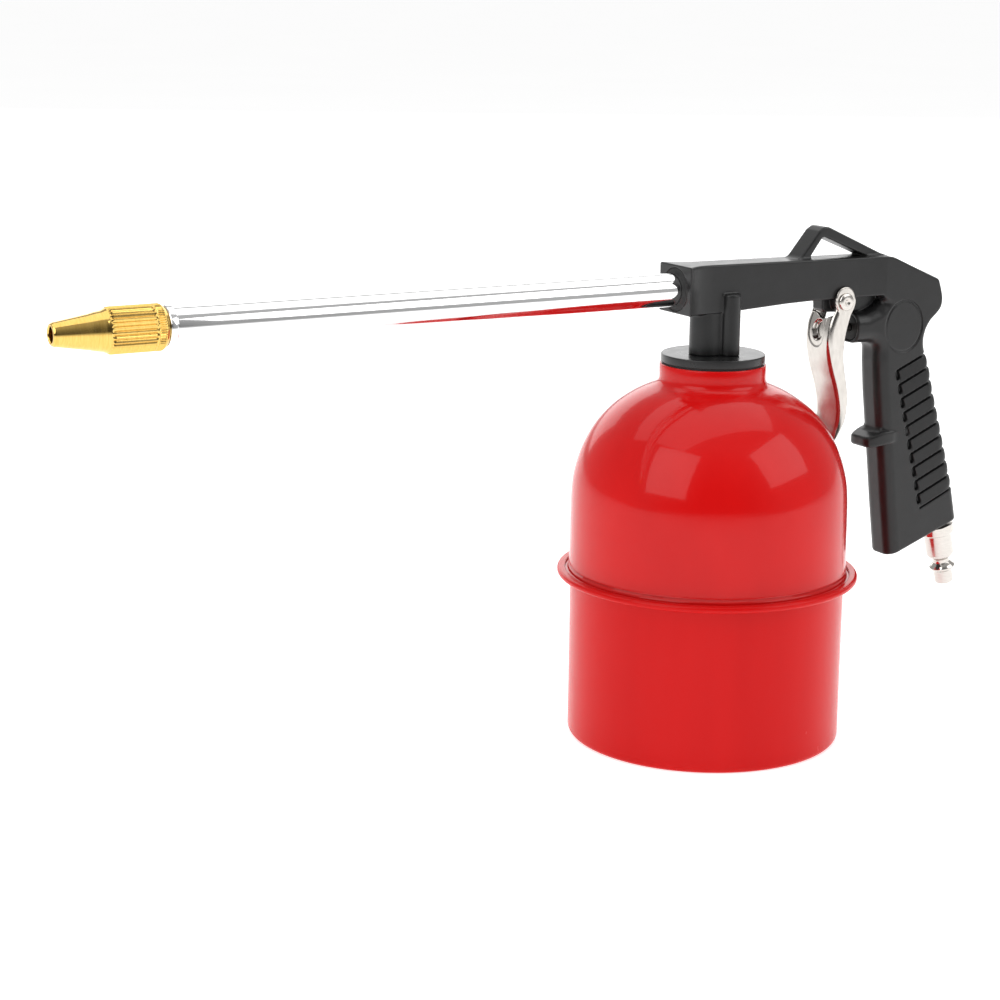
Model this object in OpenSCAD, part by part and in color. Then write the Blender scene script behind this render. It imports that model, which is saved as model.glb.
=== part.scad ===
// Siphon oil can: a two-part steel can that carries a trigger spray gun.
// Origin at the centre of the can's base, +Z up, the barrel points along -X
// and the grip is at +X. Millimetres.

/* [Can] */
// Outer radius of the lower cup
cup_r = 50; // [49:0.5:50.4]
// Height of the seam flange's underside above the base
seam_z = 60; // [58:0.5:61]
// Outer radius of the folded seam
seam_r = 54.85; // [54.2:0.05:56]
// Thickness of the steel sheet
sheet_t = 0.8; // [0.7:0.05:0.85]
// Outer radius of the neck
neck_r = 19.2; // [19:0.05:19.4]
// Height of the neck's rim
neck_z = 138.3; // [138.3:0.1:138.3]

/* [Lid] */
// Radius of the lid disc
lid_r = 18.7; // [17:0.1:19]
// Height of the lid's top face
lid_top = 141.9; // [141.5:0.1:142.5]
// Crest radius of the lid's male thread
lid_thread_r = 15.0; // [14.6:0.1:15]
// Pitch of the neck thread
thread_p = 2.4; // [2:0.2:2.4]

/* [Barrel] */
// Height of the barrel axis
axis_z = 165.8; // [165:0.1:166.2]
// Outer radius of the barrel tube
tube_r = 6.0; // [5.8:0.05:6.1]
// Wall of the barrel tube
tube_t = 0.8; // [0.6:0.05:0.9]
// Outer radius of the inner fluid tube
fluid_r = 2.0; // [1.8:0.05:2.1]
// Distance from the can's axis to the rear of the nozzle
nozzle_back = 209.2; // [209.2:0.1:212]

/* [Nozzle] */
// Length of the nozzle
nozzle_len = 36.6; // [36:0.1:37]
// Largest radius of the nozzle
nozzle_r = 7.5; // [7.3:0.1:7.8]
// Radius of the spray opening
orifice_r = 2.55; // [2.3:0.05:2.7]
// Number of coarse flutes
flutes = 30; // [24:2:36]

/* [Gun body] */
// Half width of the body at its front face
body_w = 10.1; // [10:0.05:10.15]
// Half width of the body behind the barrel socket
waist_w = 6.2; // [6.2:0.05:6.25]
// Half width of the grip
grip_w = 7.0; // [6.95:0.05:7.1]
// Half length of the post between the body and the lid
post_r = 9.4; // [9:0.1:9.8]
// Half width of the hang loop
loop_w = 4.3; // [3.6:0.1:5]
// Number of grip ribs
ribs = 10; // [7:1:10]
// Distance between grip ribs
rib_pitch = 5.5; // [5:0.1:5.6]

/* [Trigger] */
// Trigger pivot, distance from the can's axis
piv_x = 52.9; // [52.9:0.1:52.9]
// Trigger pivot, height
piv_z = 157.9; // [157.9:0.1:157.9]
// Radius of the pivot pin
pin_r = 2.0; // [1.8:0.05:2.2]
// Thickness of the trigger's sheet
trig_t = 1.2; // [1:0.1:1.4]
// Half width of the finger part
trig_w = 7.6; // [7.2:0.1:8]

/* [Valve] */
// Height of the valve axis
valve_z = 147; // [147:0.1:147]
// Radius of the valve stem
stem_r = 1.4; // [1.2:0.05:1.5]

/* [Air plug] */
// Lean of the air plug from vertical, degrees
plug_lean = 13.8; // [13:0.1:15]
// Radius of the plug's tip
plug_tip_r = 3.65; // [3.5:0.05:3.8]

/* [Hidden] */
$fn = 64;

red = [0.80, 0.05, 0.05];
black = [0.07, 0.07, 0.07];
steel = [0.82, 0.82, 0.84];
nickel = [0.80, 0.78, 0.74];
brass = [0.85, 0.65, 0.20];
rubber = [0.03, 0.03, 0.03];

// points of an arc, centre c, radius r, from angle a to angle b
function arc(c, r, a, b, n = 6) =
  [for (i = [0:n]) [c[0] + r * cos(a + (b - a) * i / n),
                    c[1] + r * sin(a + (b - a) * i / n)]];
// polyline moved sideways by d, to the left of its direction
function unit2(v) = v / norm(v);
function side(p, i) = let (n = len(p) - 1,
    a = p[max(i - 1, 0)], b = p[min(i + 1, n)], u = unit2(b - a)) [-u[1], u[0]];
function shift(p, d) = [for (i = [0:len(p) - 1]) p[i] + d * side(p, i)];
function rev(p) = [for (i = [len(p) - 1:-1:0]) p[i]];
// lathe about the X axis, profile given as [radius, distance along -X]
module lathe_x(z = axis_z) {
  translate([0, 0, z]) rotate([0, -90, 0])
    rotate_extrude($fn = 96) children();
}
// rod along +X from x0 to x1
module rod_x(x0, x1, r, z) {
  translate([x0, 0, z]) rotate([0, 90, 0]) cylinder(h = x1 - x0, r = r);
}
// plate with an XZ outline, centred on y = 0
module plate_y(w) {
  translate([0, w, 0]) rotate([90, 0, 0]) linear_extrude(2 * w) children();
}

// ---- can ----
t = sheet_t;
lip = seam_z + 3 * t;
module cup() color(red) rotate_extrude($fn = 128) polygon(concat(
  [[0, 0]], arc([cup_r - 2, 2], 2, -90, 0),
  [[cup_r, seam_z - 1]], arc([cup_r + 1, seam_z - 1], 1, 180, 90, 4),
  [[seam_r - 0.6, seam_z]],
  arc([seam_r - 1.2, seam_z + 1.2], 1.2, -90, 90, 8),
  [[seam_r - 3, lip], [seam_r - 3, lip - t], [seam_r - 1.2, lip - t],
   [seam_r - t, lip - t - 0.2], [seam_r - t, seam_z + t],
   [cup_r + 1, seam_z + t]],
  arc([cup_r + 1, seam_z - 1], 1.8, 90, 180, 4),
  [[cup_r - t, 2]], arc([cup_r - 2, 2], 2 - t, 0, -90), [[0, t]]));

// outer line of the dome, from the seam to the neck's rim
dome_line = [[cup_r + 0.7, seam_z + 2.4], [cup_r + 0.4, 72], [cup_r + 0.3, 82],
  [cup_r + 0.1, 90], [49.6, 95.5], [48.6, 100.2], [47.1, 105], [45.1, 109.6],
  [42.6, 114], [39.4, 118.2], [35.6, 122], [31.2, 125.3], [27.2, 127.7],
  [23.6, 129.4], [21.4, 130.6], [20.1, 131.9], [19.4, 133.6],
  [neck_r, 135.2], [neck_r, neck_z]];
dome_in = shift(dome_line, t);
module dome() color(red) rotate_extrude($fn = 128) polygon(concat(
  [[seam_r - t - 0.3, seam_z + t], [seam_r - t - 0.3, seam_z + 2 * t],
   [cup_r + 1.1, seam_z + 2 * t]],
  dome_line, [[neck_r - t, neck_z]],
  [for (i = [len(dome_in) - 2:-1:1]) dome_in[i]],
  [[cup_r + 0.7 - t, seam_z + 2.4], [cup_r + 0.7 - t, seam_z + t]]));

module neck_thread_ring() color(steel) rotate_extrude($fn = 96) polygon(concat(
  [[neck_r - t, neck_z], [neck_r - t, 135.4], [neck_r - t - 0.5, 134],
   [16.9, 129.2], [15.3, 128.7]],
  [for (i = [0:3]) each [[15.3, 129 + i * thread_p], [16.0, 129 + (i + 0.5) * thread_p]]],
  [[15.3, neck_z]]));

module lid_gasket() color(rubber) translate([0, 0, neck_z])
  difference() { cylinder(h = 0.7, r = 18.2, $fn = 96);
    translate([0, 0, -1]) cylinder(h = 3, r = 15.3, $fn = 96); }

// ---- lid and dip tube ----
lid_bot = neck_z + 0.7;
module lid() color(black) difference() {
  rotate_extrude($fn = 96) polygon(concat(
    [[6.02, lid_top], [6.02, 128.6], [9, 128.6], [9, 136.6], [13.1, 136.6],
     [13.1, 128.6], [lid_thread_r - 0.7, 128.6]],
    [for (i = [0:3]) each [[lid_thread_r - 0.7, 129 + i * thread_p],
                           [lid_thread_r, 129 + (i + 0.5) * thread_p]]],
    [[lid_thread_r - 0.7, lid_bot], [lid_r - 0.2, lid_bot], [lid_r, lid_bot + 0.2],
     [lid_r, lid_top - 0.3], [lid_r - 0.3, lid_top]]));
  translate([-11.3, 1, 130]) cylinder(h = 20, r = 0.7);
}
module dip_tube() color(steel) difference() {
  translate([0, 0, 6]) cylinder(h = 146, r = 3);
  translate([0, 0, 5]) cylinder(h = 148, r = 2.2);
  // slant cut at the bottom so it can't seal on the base
  translate([0, 0, 6]) rotate([0, 30, 0]) translate([-10, -10, -20.0]) cube([20, 20, 19]);
}

// ---- gun body ----
// side outline of the body: block, head and grip
body_line = concat(
  [[-17.2, 157.8], [-16.7, 157.3], [0, 157.2], [28, 158.7], [40, 159.0], [70.2, 159.1], [71.8, 157.2],
   [69.5, 155.2], [66, 153.9], [66, 140.1], [68.6, 140.1]],
  [[70.3, 137.4], [70.4, 134.0], [71.6, 121.5], [73.2, 109.2], [75.2, 94.3], [77.1, 79.1], [79.7, 60.4],
   [80.6, 58.4], [82.4, 57.9], [110.3, 68.8], [111.9, 69.9], [112.1, 71.5]],
  [[109.1, 85.3], [105.5, 97.4], [101.8, 109.4], [98.0, 121.4], [95.0, 133.1],
   [92.6, 136.7], [92.0, 141.2], [93.0, 145.8], [94.6, 148.5]],
  [[98.2, 151.0], [99.4, 154.5], [99.0, 157.7], [97.8, 162.2], [96.2, 164.2],
   [74.9, 173.1], [72.9, 173.5], [70.5, 173.6], [-16.5, 174.6], [-17.2, 173.9]]);
body_plan = [[-17.2, body_w], [-16.0, body_w], [-14.8, 9.1], [-13.2, 8.0], [-11.5, 7.2], [-9, 6.6],
  [-6, waist_w], [60, waist_w], [72, grip_w], [120, grip_w]];
loop_out = [[33.6, 174], [42.2, 184.2], [43.2, 185.0], [44.6, 185.4], [46.4, 185.3], [51.4, 183.2],
  [61, 178.9], [73.4, 173.2], [60, 172]];
loop_in = [[38.9, 172.9], [38.9, 175.2], [43.6, 181.2], [44.8, 181.6], [57.4, 176.0], [58.0, 175.2], [58.0, 172.9]];
plug_o = [107.0, 69.0];     // where the air plug's axis leaves the grip
rib_dir = 23;               // slope of the ribs
module plug_frame() translate([plug_o[0], 0, plug_o[1]]) rotate([0, 180 - plug_lean, 0]) children();

module gun_body() color(black) difference() {
  union() {
    intersection() {
      plate_y(body_w) polygon(body_line);
      translate([0, 0, 50]) linear_extrude(130)
        polygon(concat(body_plan, rev([for (p = body_plan) [p[0], -p[1]]])));
    }
    // hang loop
    plate_y(loop_w) polygon(loop_out);
    // lug and boss that carry the trigger's pin
    plate_y(3.0) polygon([[45.7, 160], [45.7, 155.0], [46.9, 154.0], [66, 152.8], [74, 150.5], [74, 160]]);
    translate([piv_x, waist_w, piv_z]) rotate([90, 0, 0]) cylinder(h = 2 * waist_w, r = 3.8);
    // valve boss
    rod_x(60.6, 73, 6.9, valve_z);
    // post and its side rib
    for (s = [-1, 1]) translate([s * (post_r - waist_w), 0, lid_top]) cylinder(h = 18, r = waist_w);
    translate([waist_w - post_r, -waist_w, lid_top]) cube([2 * (post_r - waist_w), 2 * waist_w, 18]);
    translate([0, 0, 128.6]) cylinder(h = 20, r = 6.0);
    translate([2.6, -6.2, lid_top]) cylinder(h = 21.7, r = 3.4);
    // finger rest, a beak that rises towards the grip
    intersection() {
      translate([0, 0, 98]) linear_extrude(14) polygon([[67.4, -3.6], [67.9, -4.9], [70.0, -6.4],
        [74, -7.3], [78, -7.5], [81, -6.8], [81, 6.8], [78, 7.5], [74, 7.3], [70.0, 6.4], [67.9, 4.9], [67.4, 3.6]]);
      plate_y(20) polygon([[67.4, 102.3], [68.2, 101.2], [78, 102.6], [83, 103.2], [83, 107.8],
        [75.0, 107.6], [68.2, 105.2], [67.4, 104.4]]);
    }
  }
  plate_y(loop_w + 1) polygon([[38.9, 175.2], [43.6, 181.2], [44.8, 181.6], [62.2, 174.1], [61.0, 174.1], [38.9, 174.3]]);
  // barrel socket with its seal seat
  rod_x(-20, -12, tube_r + 0.02, axis_z);
  rod_x(-20, -16.1, 7.7, axis_z);
  // fluid bore and siphon bore
  rod_x(-13, 2.6, fluid_r + 0.02, axis_z);
  translate([0, 0, 127]) cylinder(h = 25, r = 3.02);
  translate([0, 0, 150]) cylinder(h = axis_z - 150, r = 1.8);
  // air way from the valve to the barrel
  rod_x(-13, 68.5, 1.45, axis_z + 3.7);
  translate([66.9, 0, valve_z]) cylinder(h = axis_z + 3.7 - valve_z, r = 1.45);
  // valve chamber
  rod_x(60, 84, 5.02, valve_z);
  // air way up the grip, then the plug's thread
  translate([80.6, 0, 146]) rotate([0, 162.2, 0]) cylinder(h = 78, r = 2.3);
  plug_frame() translate([0, 0, -8]) cylinder(h = 20, r = 5.02);
  // pivot hole
  translate([piv_x, 20, piv_z]) rotate([90, 0, 0]) cylinder(h = 40, r = pin_r + 0.02);
  // thumb discs on both sides
  for (s = [-1, 1]) translate([81.9, s * (grip_w - 0.35), 146.8]) rotate([-90 * s, 0, 0])
    difference() { cylinder(h = 3, r = 9.4); translate([0, 0, -1]) cylinder(h = 5, r = 8.8); }
  // grip ribs
  for (s = [-1, 1], i = [0:ribs - 1])
    translate([79.4 + i * 1.56, s * (grip_w - 0.2), 129.7 - i * rib_pitch * 0.965])
      rotate([0, -rib_dir, 0]) rotate([s * 13, 0, 0])
        translate([0, s > 0 ? 0 : -2, -3.2]) cube([30, 2, 3.2]);
}

// ---- barrel ----
module barrel_tube() color(steel) difference() {
  rod_x(-206.2, -12.6, tube_r, axis_z);
  rod_x(-207, -4, tube_r - tube_t, axis_z);
}
module barrel_seal() color(rubber) difference() {
  rod_x(-17.0, -16.1, 7.6, axis_z);
  rod_x(-18, -15, tube_r, axis_z);
}
module fluid_tube() color(steel) difference() {
  rod_x(-236, 1.2, fluid_r, axis_z);
  rod_x(-237, 2, fluid_r - 0.6, axis_z);
}
module tube_bushing() color(steel) difference() {
  union() {
    rod_x(-206.2, -196, tube_r - tube_t, axis_z);
    rod_x(-209.0, -206.2, 6.9, axis_z);
    rod_x(-225, -209, 5.5, axis_z);
  }
  rod_x(-226, -195, 3.3, axis_z);
  // groove for the ring
  lathe_x() polygon([[4.1, 221.2], [6, 221.2], [6, 222.8], [4.1, 222.8]]);
}
module fluid_tip() color(brass) difference() {
  union() {
    rod_x(-236, -229, 3.0, axis_z);
    translate([-236, 0, axis_z]) rotate([0, -90, 0]) cylinder(h = 6, r1 = 3.0, r2 = 1.5);
  }
  rod_x(-236, -228, fluid_r, axis_z);
  rod_x(-243, -235, 0.9, axis_z);
}
nb = nozzle_back;
nl = nozzle_len;
module nozzle() color(brass) difference() {
  lathe_x() polygon([[5.55, nb], [nozzle_r - 0.9, nb], [nozzle_r - 0.2, nb + 1.1],
    [nozzle_r, nb + 1.6], [nozzle_r, nb + 18.0], [nozzle_r - 0.5, nb + 19.0], [6.9, nb + 19.4],
    [6.35, nb + 20.6], [6.1, nb + 22.4], [5.6, nb + 24.5],
    [3.8, nb + nl - 1.0], [3.4, nb + nl], [orifice_r + 0.2, nb + nl], [orifice_r, nb + nl - 0.5],
    [orifice_r, nb + nl - 5.5], [5.4, nb + 16.6], [5.55, nb + 16.2]]);
  for (i = [0:flutes - 1]) translate([-nb - 4.6, 0, axis_z]) rotate([i * 360 / flutes, 0, 0])
    translate([0, 0, nozzle_r + 0.13]) rotate([0, -90, 0]) rotate([0, 0, 0])
      cylinder(h = 18, r = 0.72, $fn = 4);
}
module nozzle_o_ring() color(rubber) lathe_x() translate([4.78, 222]) circle(r = 0.68, $fn = 32);

// ---- valve ----
module valve_gland() color(black) difference() {
  union() { rod_x(61.2, 71.4, 5.0, valve_z); }
  rod_x(60, 72, stem_r + 0.05, valve_z);
  rod_x(64, 69, 3.3, valve_z);
  rod_x(68, 72, 2.2, valve_z);
  translate([66.9, 0, valve_z]) cylinder(h = 8, r = 1.45);
  // two flats for a pin spanner
  for (s = [-1, 1]) translate([60, s * 3.4, valve_z]) rotate([0, 90, 0]) cylinder(h = 2.4, r = 0.7);
}
module stem_packing() color(rubber) translate([64.92, 0, valve_z]) rotate([0, 90, 0])
  rotate_extrude() translate([2.38, 0]) circle(r = 0.9, $fn = 32);
module valve_stem() color(steel) union() {
  rod_x(53.4, 74.4, stem_r, valve_z);
  translate([53.4, 0, valve_z]) sphere(r = stem_r);
  rod_x(73.0, 74.4, 3.4, valve_z);
  rod_x(74.4, 76.4, 1.6, valve_z);
}
module valve_seal() color(rubber) difference() {
  rod_x(71.55, 73.0, 3.3, valve_z);
  rod_x(71, 74, stem_r, valve_z);
}
// closed coil swept along +X
spr_n = 6.5;
spr_k = 14;
function spr_c(u) = [74.9 + 8.6 * u, 2.55 * cos(360 * spr_n * u), valve_z + 2.55 * sin(360 * spr_n * u)];
module valve_spring() color(steel) {
  m = floor(spr_n * spr_k);
  w = 0.38;
  pts = [for (i = [0:m]) let (c = spr_c(i / m), a = 360 * spr_n * i / m)
    for (j = [0:5]) c + w * [sin(60 * j), cos(60 * j) * cos(a), cos(60 * j) * sin(a)]];
  faces = concat(
    [[0, 1, 2, 3, 4, 5]],
    [for (i = [0:m - 1], j = [0:5]) each [
      [i * 6 + j, (i + 1) * 6 + j, (i + 1) * 6 + (j + 1) % 6],
      [i * 6 + j, (i + 1) * 6 + (j + 1) % 6, i * 6 + (j + 1) % 6]]],
    [[m * 6 + 5, m * 6 + 4, m * 6 + 3, m * 6 + 2, m * 6 + 1, m * 6]]);
  polyhedron(points = pts, faces = faces, convexity = 8);
}

// ---- trigger ----
// front line of the trigger's web, from the top down
web_line = [[50.2, 157], [48.3, 153.4], [46.8, 149.5], [46.2, 145.5], [46.2, 141.5], [47.0, 136.6],
  [48.4, 131.6], [50.3, 126.2], [51.6, 121.2], [52.2, 116.4], [51.7, 112], [50.4, 108.2], [49.4, 105.4]];
// rear line of its side flanges, from the bottom up
flange_back = [[51.2, 106.6], [53.4, 110.4], [55.1, 114.4], [55.6, 118.9], [55.6, 122.4],
  [55.0, 126.6], [54.0, 131.2], [53.1, 136.4], [53.1, 141.6], [53.8, 146.6], [55.3, 152.0], [56.7, 156.4]];
ear_y = trig_w - trig_t;
module trig_side() {
  difference() {
    plate_y(20) union() {
      polygon(concat(web_line, flange_back));
      translate([piv_x, piv_z]) circle(r = 4.1);
      translate([piv_x, piv_z + 1.0]) circle(r = 4.1);
    }
    translate([piv_x, 21, piv_z]) rotate([90, 0, 0]) cylinder(h = 42, r = pin_r + 0.06);
  }
}
module trigger() color(nickel) union() {
  // side flanges that end in the two ears
  for (s = [-1, 1]) intersection() {
    trig_side();
    translate([30, s * (ear_y + trig_t / 2) - trig_t / 2, 90]) cube([40, trig_t, 90]);
  }
  // web with its scalloped top edge
  intersection() {
    plate_y(trig_w - 0.01) polygon(concat(web_line, rev(shift(web_line, trig_t))));
    translate([30, 0, 0]) rotate([90, 0, 90]) linear_extrude(40) polygon([
      [-trig_w, 104], [trig_w, 104], [trig_w, 152.4], [3, 150.2], [-1, 150.0], [-trig_w, 152.0]]);
  }
  // boss pressed back towards the valve stem
  rod_x(46.8, 51.8, 3.2, valve_z);
}
module pivot_pin() color(nickel) {
  translate([piv_x, 9.2, piv_z]) rotate([90, 0, 0]) cylinder(h = 17, r = pin_r);
  translate([piv_x, -7.75, piv_z]) rotate([90, 0, 0]) difference() {
    cylinder(h = 1.0, r = 3.2);
    translate([0, 0, 0.4]) cylinder(h = 1.2, r1 = 0.6, r2 = 1.2);
  }
}
module pin_clip() color(nickel) translate([piv_x, 7.75, piv_z]) rotate([-90, 0, 0]) difference() {
  cylinder(h = 0.8, r = 3.4);
  translate([0, 0, -1]) cylinder(h = 3, r = pin_r);
}

// ---- air plug, +Z of its frame points out of the grip ----
module air_plug() color(nickel) plug_frame() rotate_extrude($fn = 72) polygon([
  [2.3, -7], [5.0, -7], [5.0, 2.9], [6.6, 2.9], [6.6, 5.6], [6.2, 6.1], [5.4, 6.3],
  [5.4, 14.6], [4.9, 15.5], [3.4, 16.6], [3.2, 17.0], [3.2, 18.3], [4.3, 19.3], [5.0, 20.2],
  [4.7, 20.9], [3.9, 21.7], [plug_tip_r, 22.2], [plug_tip_r, 26.4], [plug_tip_r - 0.4, 26.9],
  [2.4, 26.9], [2.3, 26.5]]);
module plug_seal() color(rubber) plug_frame() rotate_extrude() polygon([
  [5.0, 2.5], [6.4, 2.5], [6.4, 2.9], [5.0, 2.9]]);

cup();
dome();
neck_thread_ring();
lid_gasket();
gun_body();
lid();
dip_tube();
barrel_tube();
barrel_seal();
fluid_tube();
tube_bushing();
fluid_tip();
nozzle();
nozzle_o_ring();
valve_gland();
stem_packing();
valve_stem();
valve_seal();
valve_spring();
trigger();
pivot_pin();
pin_clip();
air_plug();
plug_seal();
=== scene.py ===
import math

import bpy
import numpy as np
from mathutils import Matrix, Vector


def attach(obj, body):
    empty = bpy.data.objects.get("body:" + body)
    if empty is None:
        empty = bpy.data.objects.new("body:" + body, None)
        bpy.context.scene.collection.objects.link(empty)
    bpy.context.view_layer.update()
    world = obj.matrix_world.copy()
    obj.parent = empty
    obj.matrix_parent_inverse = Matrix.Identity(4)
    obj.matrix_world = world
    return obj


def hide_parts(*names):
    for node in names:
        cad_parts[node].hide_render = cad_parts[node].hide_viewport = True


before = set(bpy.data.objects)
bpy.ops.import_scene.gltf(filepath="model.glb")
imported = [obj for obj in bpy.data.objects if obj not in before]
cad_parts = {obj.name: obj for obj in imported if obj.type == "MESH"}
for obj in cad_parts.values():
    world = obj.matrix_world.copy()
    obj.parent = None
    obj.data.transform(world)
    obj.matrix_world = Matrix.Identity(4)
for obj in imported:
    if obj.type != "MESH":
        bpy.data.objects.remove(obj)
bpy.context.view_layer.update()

MM = 0.001
AXIS = 165.8          # height of the barrel axis, mm

# ---------------------------------------------------------------- camera
cam_data = bpy.data.cameras.new("camera")
cam_data.sensor_width = 36.0
cam_data.lens = 82.556
cam_data.clip_start, cam_data.clip_end = 0.01, 200.0
cam = bpy.data.objects.new("camera", cam_data)
bpy.context.scene.collection.objects.link(cam)
yaw, pitch, roll = math.radians(29.50), math.radians(13.32), math.radians(0.58)
fw = Vector((math.sin(yaw) * math.cos(pitch), math.cos(yaw) * math.cos(pitch), -math.sin(pitch)))
rt = Vector((math.cos(yaw), -math.sin(yaw), 0.0))
up = rt.cross(fw)
r2 = math.cos(roll) * rt + math.sin(roll) * up
u2 = -math.sin(roll) * rt + math.cos(roll) * up
m3 = Matrix((r2, u2, -fw)).transposed()
cam.matrix_world = Matrix.Translation((-0.46698, -0.67100, 0.27946)) @ m3.to_4x4()
bpy.context.scene.camera = cam


# ---------------------------------------------------------------- meshes
def add_object(name, co, quads=None, tris=None, body="can", slot=None, replaces=(), material=None, smooth=True):
    """One piece from points in millimetres, faces as index arrays."""
    co = np.asarray(co, float).reshape(-1, 3) * MM
    loops, starts, n = [], [], 0
    for f, k in ((quads, 4), (tris, 3)):
        if f is None or len(f) == 0:
            continue
        f = np.asarray(f, np.int32).reshape(-1, k)
        loops.append(f.ravel())
        starts.append(n + np.arange(len(f), dtype=np.int32) * k)
        n += f.size
    loops, starts = np.concatenate(loops), np.concatenate(starts)
    me = bpy.data.meshes.new(name)
    me.vertices.add(len(co))
    me.vertices.foreach_set("co", co.astype(np.float32).ravel())
    me.loops.add(len(loops))
    me.loops.foreach_set("vertex_index", loops.astype(np.int32))
    me.polygons.add(len(starts))
    me.polygons.foreach_set("loop_start", starts.astype(np.int32))
    me.update(calc_edges=True)
    me.validate()
    me.polygons.foreach_set("use_smooth", np.full(len(me.polygons), smooth))
    me.update()
    ob = bpy.data.objects.new(name, me)
    bpy.context.scene.collection.objects.link(ob)
    if material is not None:
        for m in (material if isinstance(material, (list, tuple)) else [material]):
            me.materials.append(m)
    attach(ob, body)
    if replaces:
        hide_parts(*replaces)
    return ob


def round_line(pts, radii, n=6):
    """Polyline with its corners rounded; radii has one value a point, 0 keeps it sharp."""
    pts = [np.array(p, float) for p in pts]
    out = []
    for i, p in enumerate(pts):
        r = radii[i]
        if r <= 0 or i in (0, len(pts) - 1):
            out.append(p)
            continue
        a, b = pts[i - 1] - p, pts[i + 1] - p
        la, lb = np.linalg.norm(a), np.linalg.norm(b)
        a, b = a / la, b / lb
        ang = math.acos(max(-1, min(1, a @ b)))
        t = min(r / math.tan(ang / 2), la * 0.49, lb * 0.49)
        r_ = t * math.tan(ang / 2)
        c = p + (a + b) / np.linalg.norm(a + b) * (r_ / math.sin(ang / 2))
        s, e = p + a * t - c, p + b * t - c
        tot = math.acos(max(-1, min(1, (s @ e) / (np.linalg.norm(s) * np.linalg.norm(e)))))
        k = max(2, int(n * tot / (math.pi / 2)) + 1)
        for j in range(k + 1):
            u = j / k
            w = (math.sin((1 - u) * tot) * s + math.sin(u * tot) * e) / max(math.sin(tot), 1e-9)
            out.append(c + w)
    return np.array(out)


def smooth_line(pts, step):
    """Centripetal Catmull-Rom through the points, resampled."""
    p = np.array(pts, float)
    p = np.vstack([2 * p[0] - p[1], p, 2 * p[-1] - p[-2]])
    out = []
    for i in range(1, len(p) - 2):
        p0, p1, p2, p3 = p[i - 1], p[i], p[i + 1], p[i + 2]
        t = [0.0]
        for a, b in ((p0, p1), (p1, p2), (p2, p3)):
            t.append(t[-1] + math.sqrt(max(np.linalg.norm(b - a), 1e-6)))
        n = max(2, int(np.linalg.norm(p2 - p1) / step))
        for u in np.linspace(t[1], t[2], n, endpoint=False):
            a1 = (t[1] - u) / (t[1] - t[0]) * p0 + (u - t[0]) / (t[1] - t[0]) * p1
            a2 = (t[2] - u) / (t[2] - t[1]) * p1 + (u - t[1]) / (t[2] - t[1]) * p2
            a3 = (t[3] - u) / (t[3] - t[2]) * p2 + (u - t[2]) / (t[3] - t[2]) * p3
            b1 = (t[2] - u) / (t[2] - t[0]) * a1 + (u - t[0]) / (t[2] - t[0]) * a2
            b2 = (t[3] - u) / (t[3] - t[1]) * a2 + (u - t[1]) / (t[3] - t[1]) * a3
            out.append((t[2] - u) / (t[2] - t[1]) * b1 + (u - t[1]) / (t[2] - t[1]) * b2)
    out.append(p[-2])
    return np.array(out)


def offset_line(p, d):
    """Polyline moved sideways by d to the left of its direction."""
    p = np.asarray(p, float)
    t = np.gradient(p, axis=0)
    t /= np.linalg.norm(t, axis=1)[:, None]
    return p + d * np.stack([-t[:, 1], t[:, 0]], 1)


def subdivide(p, step):
    """Adds points to long straight runs of a closed or open line."""
    out = [p[0]]
    for a, b in zip(p[:-1], p[1:]):
        k = max(1, int(np.linalg.norm(b - a) / step))
        for j in range(1, k + 1):
            out.append(a + (b - a) * j / k)
    return np.array(out)


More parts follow.
